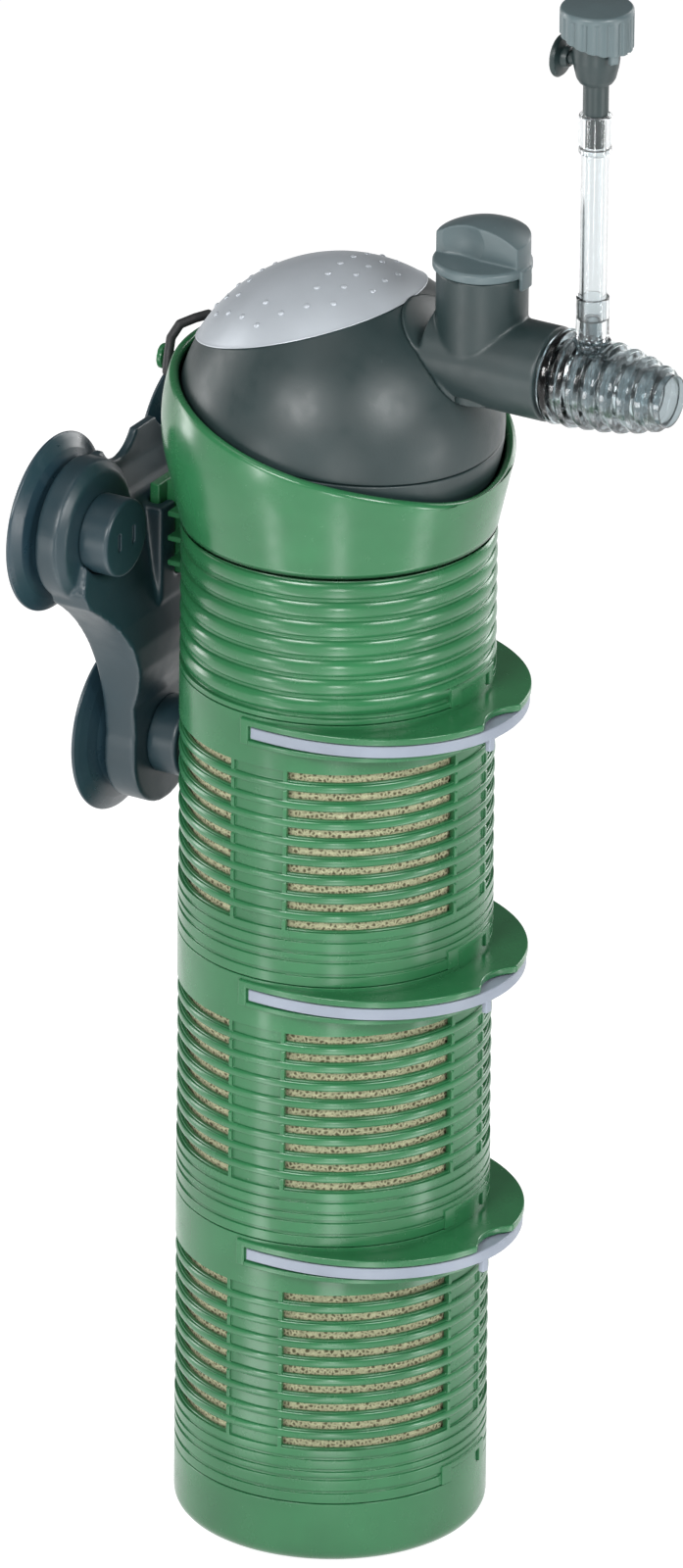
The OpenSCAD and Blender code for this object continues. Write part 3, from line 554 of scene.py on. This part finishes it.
def chamber_mesh():
    """Chamber wall with its seam at height 0."""
    wall, frame_and_notch = seam_steps(0, CHAMBER_H)
    steps = wall + [
        ("-", 0, 360, WALL_IN_R, ROOM_R, GRATE_Z, RING_Z),
        ("+", 0, 360, WALL_IN_R - 1.6, WALL_IN_R, LIP_Z, GRATE_Z),
        ("+", 0, 360, SPIGOT_IN_R, WALL_IN_R, RING_Z, CHAMBER_H),
        ("+", 0, 360, SPIGOT_IN_R, SPIGOT_R, CHAMBER_H, CHAMBER_H + SPIGOT_RISE),
        ("+", -KEY_HALF, KEY_HALF, WALL_IN_R, CAN_R, CHAMBER_H, CHAMBER_H + KEY_RISE),
    ]
    steps += [("-", 0, 360, GROOVE_R, CAN_R, z - 0.45, z + 0.45) for z in LINES]
    rows = [FIRST_SLOT + i * SLOT_PITCH for i in range(SLOT_ROWS)]
    for z in rows[:-1]:
        crest = [z + RECESS_H / 2 + CREST_H * share for share in CREST_ROWS]
        steps += [("+", 0, 360, ROOM_R, CAN_R, a, b) for a, b in zip(crest, crest[1:])]
    steps += [("-", 0, 360, RECESS_R, CAN_R, z - RECESS_H / 2, z + RECESS_H / 2) for z in rows]
    for a in (45, 135, 225, 315):
        for side in (a - SLOT_HALF_A - BAR_A, a + SLOT_HALF_A):
            steps.append(("+", side, side + BAR_A, RECESS_R, CAN_R, rows[0] - RECESS_H / 2,
                          rows[-1] + RECESS_H / 2))
        steps += [("-", a - SLOT_HALF_A, a + SLOT_HALF_A, ROOM_R, CAN_R, z - SLOT_H / 2, z + SLOT_H / 2)
                  for z in rows]

    def warp(a, r, z):
        share = (z - rows[0] - RECESS_H / 2) % SLOT_PITCH / CREST_H
        crest = (z > rows[0]) & (z < rows[-1]) & (share < 1.01)
        sag = CREST_ROUND * np.abs(2 * share - 1) ** 2.6
        return np.where(crest & (np.abs(r - CAN_R) < 0.01), r - sag, r), z

    return bevelled(cells_mesh(steps + frame_and_notch, warp), 0.16)


FLANGE_REACH = 11.4
FLANGE_HALF = 91.5
POST_A = 3.6
SLIDER_HALF = 87.3
BAND_PROUD = 0.8
NOTCH_AT = CAN_R + 19.2
NOTCH_R = 11.0


def crescent_r(angle, inset, reach, notched=False):
    """Radius of the flange's outline; its finger notch is a circle's near side."""
    turn = np.radians((angle - FLANGE_AZ + 180) % 360 - 180)
    r = CAN_R + BAND_PROUD - inset + reach * np.maximum(np.cos(turn), 0) ** 2
    if notched:
        inside = NOTCH_R ** 2 - (NOTCH_AT * np.sin(turn)) ** 2
        near = NOTCH_AT * np.cos(turn) - np.sqrt(np.maximum(inside, 0))
        r = np.where((inside > 0) & (np.cos(turn) > 0), np.minimum(r, near), r)
    return r


def plate_mesh(half, r_in, z0, z1, outline, posts=0.0, foot=0.0):
    """Crescent plate round the wall, with posts hanging from its two ends."""
    steps = [("+", FLANGE_AZ - half, FLANGE_AZ + half, r_in, CAN_R + 1, z0, z1)]
    for end in (-half, half - posts) if posts else ():
        steps.append(("+", FLANGE_AZ + end, FLANGE_AZ + end + posts, r_in, CAN_R + 1, foot, z0))

    def warp(a, r, z):
        return np.where(r > CAN_R, outline(a), r), z

    return cells_mesh(steps, warp, 1.5)


def flange_mesh():
    """Flange over a slider, the posts at its two ends, and the ledge under the slider."""
    top = CHAMBER_H
    upper = plate_mesh(FLANGE_HALF, CAN_R - 2.5, top - 3, top - 1,
                       lambda a: crescent_r(a, 0, FLANGE_REACH, True), POST_A, top - 8.5)
    ledge = plate_mesh(FLANGE_HALF - POST_A + 0.2, CAN_R - 2.5, top - 8.5, top - 7,
                       lambda a: crescent_r(a, 0, FLANGE_REACH - 2.8))
    return joined([bevelled(upper, 0.45, 3), bevelled(ledge, 0.35)])


def slider_mesh():
    """Crescent of a locking slider, with the small tab under its front edge."""
    top = CHAMBER_H
    plate = plate_mesh(SLIDER_HALF, SPIGOT_R + 0.35, top - 6.65, top - 3.35,
                       lambda a: crescent_r(a, 0.4, FLANGE_REACH))
    tab_x = CAN_R + BAND_PROUD - 0.4 + FLANGE_REACH - 2
    tab = box_mesh((tab_x, -5.5, top - 9.95), (tab_x + 1.6, -3.1, top - 5.5), 0.3)
    tab.transform(Matrix.Rotation(math.radians(FLANGE_AZ), 4, "Z"))
    return joined([bevelled(plate, 0.4), tab])


def sponge_mesh(low, high, r_out, r_in):
    """Block of foam with a hole through it: its faces are rough with torn cells."""
    rows = int((high - low) / 1.1)
    turns = int(2 * math.pi * r_out / 1.1)
    profile = [(r_out, low + (high - low) * i / rows) for i in range(rows + 1)]
    profile += [(r_out + (r_in - r_out) * i / 6, high) for i in range(1, 7)]
    profile += [(r_in, high + (low - high) * i / 6) for i in range(1, 7)]
    profile += [(r_in + (r_out - r_in) * i / 6, low) for i in range(1, 6)]
    mesh = revolved(profile, turns)
    for v in mesh.vertices:
        p = v.co / MM
        out = Vector((p.x, p.y, 0)).normalized()
        rough = noise.noise(p * 0.55) * 0.35 + noise.noise(p * 1.3) * 0.25
        v.co += (out * (min(rough, 0.3) - 0.3)) * MM
    return mesh


piece("base_wall", base_mesh(), "base", "base_cap")
chamber, flange, slider = chamber_mesh(), flange_mesh(), slider_mesh()
low, high = corners("lower_sponge")
foam_block = sponge_mesh(low.z, high.z, high.y, 9.0)
for i, name in enumerate(CHAMBERS):
    lift = (0, 0, SEAMS[i])
    piece(f"{name}_wall", moved(chamber, lift), f"{name}_chamber", f"{name}_shell")
    piece(f"{name}_flange", moved(flange, lift), f"{name}_chamber", slot="green_plastic")
    piece(f"{name}_lock_plate", moved(slider, lift), f"{name}_lock", f"{name}_slider")
    sponge = piece(f"{name}_foam", moved(foam_block, (0, 0, SEAMS[i] - SEAMS[0])), f"{name}_chamber",
                   f"{name}_sponge")


# ---------- Pump holder: ribbed skirt, bowl and rail ----------

RIB_PITCH = 5.55
RIB_DEPTH = 1.1
RIB_ROUND = 0.75
RIB_ROWS = (0, 0.1, 0.22, 0.36, 0.5, 0.64, 0.78, 0.9, 1)
GROOVES = [HOLDER_SEAM + 2.3 + i * RIB_PITCH for i in range(8)]
TOP_GROOVE_Z = GROOVES[-1] + 0.5
BOWL_TAPER = 12.45
JOIN_Z = BALL_Z - math.sqrt(BOWL_R ** 2 - CAN_R ** 2)


def skirt_mesh():
    """Ribbed wall of the pump holder, under the bowl."""
    wall, frame_and_notch = seam_steps(HOLDER_SEAM, JOIN_Z + 0.2)
    steps = list(wall)
    steps += [("-", 0, 360, CAN_R - RIB_DEPTH, CAN_R, z - 0.5, z + 0.5) for z in GROOVES]
    for z in GROOVES[:-1]:
        crest = [z + 0.5 + (RIB_PITCH - 1) * share for share in RIB_ROWS]
        steps += [("+", 0, 360, WALL_IN_R, CAN_R, a, b) for a, b in zip(crest, crest[1:])]

    def warp(a, r, z):
        share = ((z - GROOVES[0] - 0.5) % RIB_PITCH) / (RIB_PITCH - 1)
        crest = (z > GROOVES[0] + 0.4) & (z < GROOVES[-1] - 0.4) & (share < 1.01)
        sag = RIB_ROUND * np.abs(2 * share - 1.05) ** 2.2
        return np.where(crest & (np.abs(r - CAN_R) < 0.01), r - sag, r), z

    return bevelled(cells_mesh(steps + frame_and_notch, warp), 0.22)


def rim_height(x):
    """Height of the bowl's rim over the ball's centre."""
    return 4.9 - 0.25 * x - 5.5 * (max(0.0, x) / 45) ** 6


def bowl_mesh():
    """Bowl open at the top along its slanting, rounded rim; below, it tapers to the top groove."""
    middle, half = (BOWL_R + BOWL_IN_R) / 2, (BOWL_R - BOWL_IN_R) / 2
    taper = math.radians(BOWL_TAPER)
    inner_foot = math.asin((JOIN_Z - BALL_Z) / BOWL_R)
    cone = [((BOWL_R + z * math.sin(taper)) / math.cos(taper), z)
            for z in np.linspace(TOP_GROOVE_Z - BALL_Z, -BOWL_R * math.sin(taper), 9)[:-1]]
    steps, rows, cap = 180, 28, 9
    verts, faces = [], []
    for i in range(steps):
        turn = 2 * math.pi * i / steps
        rim = 0.0
        for _ in range(12):
            rim = math.asin(max(-1, min(1, rim_height(middle * math.cos(rim) * math.cos(turn)) / middle)))
        rim -= half / middle
        arcs = [(BOWL_R, -taper + (rim + taper) * k / rows) for k in range(rows)]
        for k in range(cap + 1):
            bend = math.pi * k / cap
            arcs.append((middle + half * math.cos(bend), rim + half * math.sin(bend) / middle))
        arcs += [(BOWL_IN_R, rim + (inner_foot - rim) * k / rows) for k in range(1, rows + 1)]
        for r, z in cone + [(rho * math.cos(rise), rho * math.sin(rise)) for rho, rise in arcs]:
            verts.append((r * math.cos(turn), r * math.sin(turn), BALL_Z + z))
    n = len(verts) // steps
    for i in range(steps):
        j = (i + 1) % steps
        for k in range(n):
            m = (k + 1) % n
            faces.append((i * n + k, j * n + k, j * n + m, i * n + m))
    return cleaned(mesh_of(verts, faces))


def rail_mesh():
    """T-shaped rail on the back with three stiffening fins."""
    low_z, high_z, web, head, back, front = 262, 288, 4, 8, -53.5, -50.5
    blocks = [box_mesh((front - 0.2, -web, low_z), (-CAN_R + 1.5, web, high_z), 0.4),
              box_mesh((back, -head, low_z), (front, head, high_z), 0.5)]
    blocks += [box_mesh((-CAN_R - 4.2, -11, low_z + z), (-CAN_R + 1.8, 11, low_z + z + 1.6), 0.35)
               for z in (5, 12, 19)]
    return joined(blocks)


piece("holder_bowl", joined([bowl_mesh(), skirt_mesh(), rail_mesh()]), "holder", "pump_holder")
piece("cord_peg", softened("cord_hook", 0.25, 5), "holder", "cord_hook")
piece("cord_outlet", softened("cord_gland", 0.22, 6), "holder", "cord_gland")


# ---------- Bracket and suction cups ----------

def cup_points(node_name, cap_name):
    """Middle of a suction cup's rim, and where its cap begins."""
    low, high = corners(node_name)
    return (low.y + high.y) / 2, (low.z + high.z) / 2, low.x, corners(cap_name)[0].x


def cup_mesh(y, z, rim_x, front):
    """Suction cup with its stem, turned about a line along X."""
    back, r, hole = -62 - rim_x, (corners("left_cup")[1].y - corners("left_cup")[0].y) / 2, 4.2
    outer = [(r - 0.2, 0.5), (r - 0.1, 1.3), (r - 1.6, 2.1), (r - 4.0, 3.2), (r - 7.5, 4.3),
             (r - 11.5, back + 0.2), (hole + 1.5, back + 0.35), (hole, back + 0.6),
             (hole, front - rim_x - 0.5), (hole - 0.5, front - rim_x + 2.5), (0, front - rim_x + 3.2)]
    inner = [(0, back - 2.2), (6, back - 2.4), (11, back - 3.1), (r - 9, 2.4), (r - 5, 1.0), (r - 2, 0.15)]
    return revolved(rounded_profile(outer + inner, 0.8), 128, "X", (rim_x, y, z))


piece("bracket_body", softened("bracket_plate", 0.55, 7), "bracket", "bracket_plate")
for name in ("left", "right", "bottom"):
    y, z, rim_x, front = cup_points(f"{name}_cup", f"{name}_cup_cap")
    piece(f"{name}_suction_cup", cup_mesh(y, z, rim_x, front), "bracket", f"{name}_cup")
    piece(f"{name}_cap", softened(f"{name}_cup_cap", 0.3, 4), "bracket", f"{name}_cup_cap")


# ---------- Pump ball ----------

SEAM_TILT = 6.84
SEAM_H = 2.08
COVER_TILT = 17.0
COVER_R = BALL_R + 0.4
COVER_H = BALL_R * 0.702


def tilted(mesh, angle):
    """Turns a mesh made round the ball's centre about Y, and puts it in place."""
    mesh.transform(Matrix.Translation((0, 0, BALL_Z * MM)) @ Matrix.Rotation(math.radians(angle), 4, "Y"))
    return mesh


def ball_arc(r, low, high, count):
    """Points of the ball's outline between two latitudes."""
    return [(r * math.cos(math.radians(low + (high - low) * i / count)),
             r * math.sin(math.radians(low + (high - low) * i / count))) for i in range(count + 1)]


def half_ball(side):
    """Half of the housing, closed by a flat ring at the seam, with a small bevel on the seam."""
    gap, wall = 0.14, 2.4
    seam = math.degrees(math.asin((SEAM_H + side * gap) / BALL_R))
    edge = side * 0.55
    end = 90 * side
    profile = ball_arc(BALL_R, end, seam + edge, 60)
    z = SEAM_H + side * gap
    profile += [(BALL_R - 0.18, z + side * 0.14), (BALL_R - 0.42, z), (BALL_R - wall, z)]
    profile += ball_arc(BALL_R - wall, seam, end, 40)
    return tilted(revolved(profile, 192), SEAM_TILT)


def cover_mesh():
    """Cap of the ball with a rolled edge and rows of small dots."""
    wall = 1.4
    low = math.degrees(math.asin(COVER_H / COVER_R))
    profile = ball_arc(COVER_R, 90, low + 0.7, 48)
    r, z = COVER_R * math.cos(math.radians(low)), COVER_H
    profile += [(r - 0.02, z + 0.22), (r - 0.3, z + 0.02), (r - wall, z + 0.02)]
    profile += ball_arc(COVER_R - wall, low + 1.5, 90, 30)
    parts = [revolved(profile, 160)]
    dot = bmesh.new()
    bmesh.ops.create_uvsphere(dot, u_segments=14, v_segments=8, radius=0.85 * MM)
    shape = bpy.data.meshes.new("dot")
    dot.to_mesh(shape)
    dot.free()
    shape.transform(Matrix.Scale(0.5, 4, (0, 0, 1)))
    for row in range(-4, 5):
        for column in range(-4, 5):
            x, y = row * 6.2, (column + (row % 2) * 0.5) * 6.6
            if math.hypot(x, y) > 26.5 or abs(x) < 8 and abs(y) < 17:
                continue
            one = shape.copy()
            up = Vector((x, y, math.sqrt(COVER_R ** 2 - x * x - y * y)))
            one.transform(Matrix.Translation(up.normalized() * (COVER_R - 0.02) * MM)
                          @ up.to_track_quat("Z", "Y").to_matrix().to_4x4())
            parts.append(one)
    return tilted(joined(parts), -COVER_TILT)


piece("ball_lower_half", half_ball(-1), "ball", "lower_housing")
piece("ball_upper_half", half_ball(1), "ball", "upper_housing")
piece("ball_cover", cover_mesh(), "ball", "top_cover")
piece("outlet_body", softened("outlet_tee", 0.42, 5), "ball", "outlet_tee")


# ---------- Valve knob, nozzle and air line ----------

piece("knob", softened("flow_knob", 0.26, 4), "valve", "flow_knob")


def nozzle_mesh():
    """Stepped hose nozzle with a bore, and the boss that the air tube's sleeve sits on."""
    start, plug, bore = PIPE_END + 0.3, 9.4, 6.7
    tips = (12.9, 12.9, 12.5, 12.1, 11.4, 10.4, 9.0)
    outer = [(plug, -8, 0.3), (plug, 0, 0.1), (11.6, 0, 0.3), (11.6, 1, 0.2)]
    for i, r in enumerate(tips):
        z = 1 + i * 4.8
        outer += [(r - 0.25, z, 0.4), (r, z + 1.0, 0.5), (r - 0.4, z + 2.3, 0.6),
                  (r - 1.9, z + 2.8, 0.4), (r - 1.9, z + 4.7, 0.3)]
    tip = corners("outlet_nozzle")[1].x - start
    outer[-1] = (outer[-1][0], tip, 0.5)
    profile = outer + [(bore, tip, 0.5), (bore, -8, 0.3)]
    body = revolved(rounded_profile(profile, 0.4), 112, "X", (start, 0, OUTLET_Z))
    boss_profile = [(1.2, 8.6), (5, 8.6), (5, 12.3), (2.5, 12.5), (2.5, 18.4), (1.2, 18.4)]
    boss = revolved(rounded_profile(boss_profile, 0.4), 48, "Z", (AIR_X, 0, OUTLET_Z))
    return joined([body, boss])


def sleeve(profile):
    """A clear round part on the air tube's axis; heights are over the outlet's axis."""
    return revolved(rounded_profile(profile, 0.4), 56, "Z", (AIR_X, 0, OUTLET_Z))


new_piece("nozzle_body", nozzle_mesh(), "nozzle", SMOKY, ("outlet_nozzle",))
piece("lower_sleeve", sleeve([(2.53, 12.6), (4.1, 12.6), (4.4, 13.2), (4.4, 24.4), (4.1, 24.7),
                              (3.64, 24.7), (3.64, 18.4), (2.53, 18.4)]), "nozzle", "lower_coupler")
piece("tube", sleeve([(2.55, 18.45), (3.6, 18.45), (3.6, 66.6), (2.55, 66.6)]), "nozzle", "air_tube")
piece("upper_sleeve", sleeve([(3.64, 65.2), (4.2, 65.2), (4.4, 65.8), (4.4, 75.6), (4.1, 76),
                              (2.75, 76), (2.75, 66.7), (3.64, 66.7)]), "nozzle", "upper_coupler")
piece("air_valve_body", softened("air_valve", 0.24, 4), "nozzle", "air_valve")
piece("air_valve_pad", softened("valve_pad", 0.2, 3), "nozzle", "valve_pad")
piece("regulator_cap", softened("air_cap", 0.2, 3), "air_regulator", "air_cap")


# ---------- Floor, light and camera ----------

def stage_mesh(name, size, z):
    """Square floor that isn't part of the object."""
    bm = bmesh.new()
    bmesh.ops.create_grid(bm, x_segments=1, y_segments=1, size=size * MM)
    mesh = bpy.data.meshes.new(name)
    bm.to_mesh(mesh)
    bm.free()
    obj = bpy.data.objects.new(name, mesh)
    obj.location.z = z * MM
    bpy.context.scene.collection.objects.link(obj)
    obj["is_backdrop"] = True
    return obj


floor = stage_mesh("floor", 6000, -0.05)
floor_finish, _, floor_shader = material("floor_finish", (0.3, 0.3, 0.3), 0.7)
floor_shader.inputs["Specular IOR Level"].default_value = 0.1
floor_shader.inputs["Emission Color"].default_value = (1, 1, 1, 1)
floor_shader.inputs["Emission Strength"].default_value = 0.88
floor.data.materials.append(floor_finish)

world = bpy.data.worlds.new("studio")
bpy.context.scene.world = world
world.use_nodes = True
world.node_tree.nodes["Background"].inputs["Color"].default_value = (1, 1, 1, 1)
world.node_tree.nodes["Background"].inputs["Strength"].default_value = 0.16
bpy.context.scene.view_settings.view_transform = "Standard"


def area_light(name, azimuth, elevation, distance, width, height, power):
    """Softbox aimed at the middle of the object; azimuth 0 is in front, on -Y, and 90 is on +X."""
    light = bpy.data.lights.new(name, "AREA")
    light.shape = "RECTANGLE"
    light.size, light.size_y, light.energy = width * MM, height * MM, power
    obj = bpy.data.objects.new(name, light)
    a, e = math.radians(azimuth), math.radians(elevation)
    back = Vector((math.sin(a) * math.cos(e), -math.cos(a) * math.cos(e), math.sin(e)))
    obj.location = (Vector((0, 0, 220)) + back * distance) * MM
    obj.rotation_mode = "QUATERNION"
    obj.rotation_quaternion = (-back).to_track_quat("-Z", "Y")
    bpy.context.scene.collection.objects.link(obj)


def floor_strip(name, azimuth, start, width, length, power):
    """Lit strip on the floor that runs away from the object and shows only in reflections."""
    light = bpy.data.lights.new(name, "AREA")
    light.shape = "RECTANGLE"
    light.size, light.size_y, light.energy = width * MM, length * MM, power
    obj = bpy.data.objects.new(name, light)
    a = math.radians(azimuth)
    obj.location = Vector((math.sin(a), -math.cos(a), 0)) * (start + length / 2) * MM
    obj.rotation_euler = (math.pi, 0, a)
    obj.visible_camera = False
    bpy.context.scene.collection.objects.link(obj)


area_light("high_left", 0, 32, 1000, 400, 280, 7)
area_light("high_right", 68, 32, 1000, 400, 280, 7)
area_light("low_left", -20, -6, 900, 120, 260, 1.5)
area_light("low_front", 30, -4, 900, 100, 240, 1.3)
area_light("low_right", 94, -4, 900, 120, 260, 1.6)
area_light("left_strip", -82, 12, 1000, 240, 900, 5)
area_light("back_right", 165, 20, 1000, 260, 900, 5)
area_light("top", -30, 75, 1000, 500, 500, 1.5)

for name, azimuth in (("strip_left", -20), ("strip_front", 30), ("strip_right", 94)):
    floor_strip(name, azimuth, 105, 50, 430, 0.26)

AIM = Vector((0, 0, 210))
CAMERA_AZ, CAMERA_EL, CAMERA_ROLL = 30.0, 24.2, 0.57
DISTANCE, LENS, RIGHT_OFFSET = 5720, 495, 1.27


def make_camera():
    """Camera at the photograph's viewing angle."""
    a, e, roll = (math.radians(v) for v in (CAMERA_AZ, CAMERA_EL, CAMERA_ROLL))
    forward = Vector((-math.sin(a) * math.cos(e), math.cos(a) * math.cos(e), -math.sin(e)))
    right = Vector((math.cos(a), math.sin(a), 0))
    up = right.cross(forward)
    right, up = right * math.cos(roll) + up * math.sin(roll), up * math.cos(roll) - right * math.sin(roll)
    data = bpy.data.cameras.new("camera")
    data.lens, data.sensor_width = LENS, 36
    data.clip_start, data.clip_end = 0.1, 40
    camera = bpy.data.objects.new("camera", data)
    turn = Matrix((right, up, -forward)).transposed()
    camera.rotation_mode = "QUATERNION"
    camera.rotation_quaternion = turn.to_quaternion()
    camera.location = (AIM + right * RIGHT_OFFSET - forward * DISTANCE) * MM
    bpy.context.scene.collection.objects.link(camera)
    bpy.context.scene.camera = camera


make_camera()

low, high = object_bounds()
